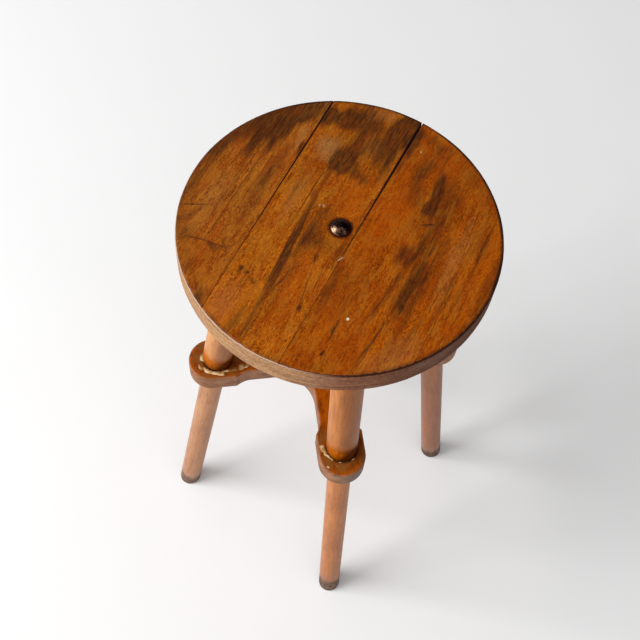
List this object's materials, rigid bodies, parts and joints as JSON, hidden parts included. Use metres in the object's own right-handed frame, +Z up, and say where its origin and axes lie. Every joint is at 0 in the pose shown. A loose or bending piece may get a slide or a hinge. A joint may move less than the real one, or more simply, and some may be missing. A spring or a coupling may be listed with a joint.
{
  "type": "stool",
  "caption": "Round wooden stool with splayed stepped legs, a lobed cross as foot rest and a seat that turns on a bolt through its centre.",
  "frame": {"origin": "on the floor, on the axis of the centre bolt, which is the middle of the four feet", "axes": "+Z up along the centre bolt; -Y to the front leg, +X to the right leg, +Y to the back leg and -X to the left leg"},
  "size_m": [0.3952, 0.3952, 0.64],
  "materials": {
    "seat_wood": "glossy amber varnish, worn at the rim",
    "cross_wood": "amber varnish above, bare pinkish sides",
    "leg_wood": "thin satin varnish on turned beech",
    "hidden_wood": "bare wood",
    "bolt_steel": "dulled and browned steel",
    "washer_steel": "dull zinc"
  },
  "bodies": {
    "base": {"leg_front": "leg_wood", "leg_right": "leg_wood", "leg_back": "leg_wood", "leg_left": "leg_wood", "leg_wedges": "hidden_wood", "lower_cross_rail_front_back": "cross_wood", "lower_cross_rail_left_right": "cross_wood", "upper_cross_rail_front_back": "cross_wood", "upper_cross_rail_left_right": "cross_wood", "bearing_washer": "washer_steel"},
    "seat": {"seat_board_left": "seat_wood", "seat_board_middle": "seat_wood", "seat_board_right": "seat_wood", "seam_dowels_left": "hidden_wood", "seam_dowels_right": "hidden_wood", "centre_bolt": "bolt_steel", "lower_washer": "washer_steel", "lower_nut": "bolt_steel", "jam_nut": "bolt_steel"}
  },
  "joints": [
    {"name": "seat_swivel", "type": "hinge", "parent": "base", "child": "seat", "pos_m": [0, 0, 0.603], "axis": [0, 0, 1], "continuous": true}
  ]
}
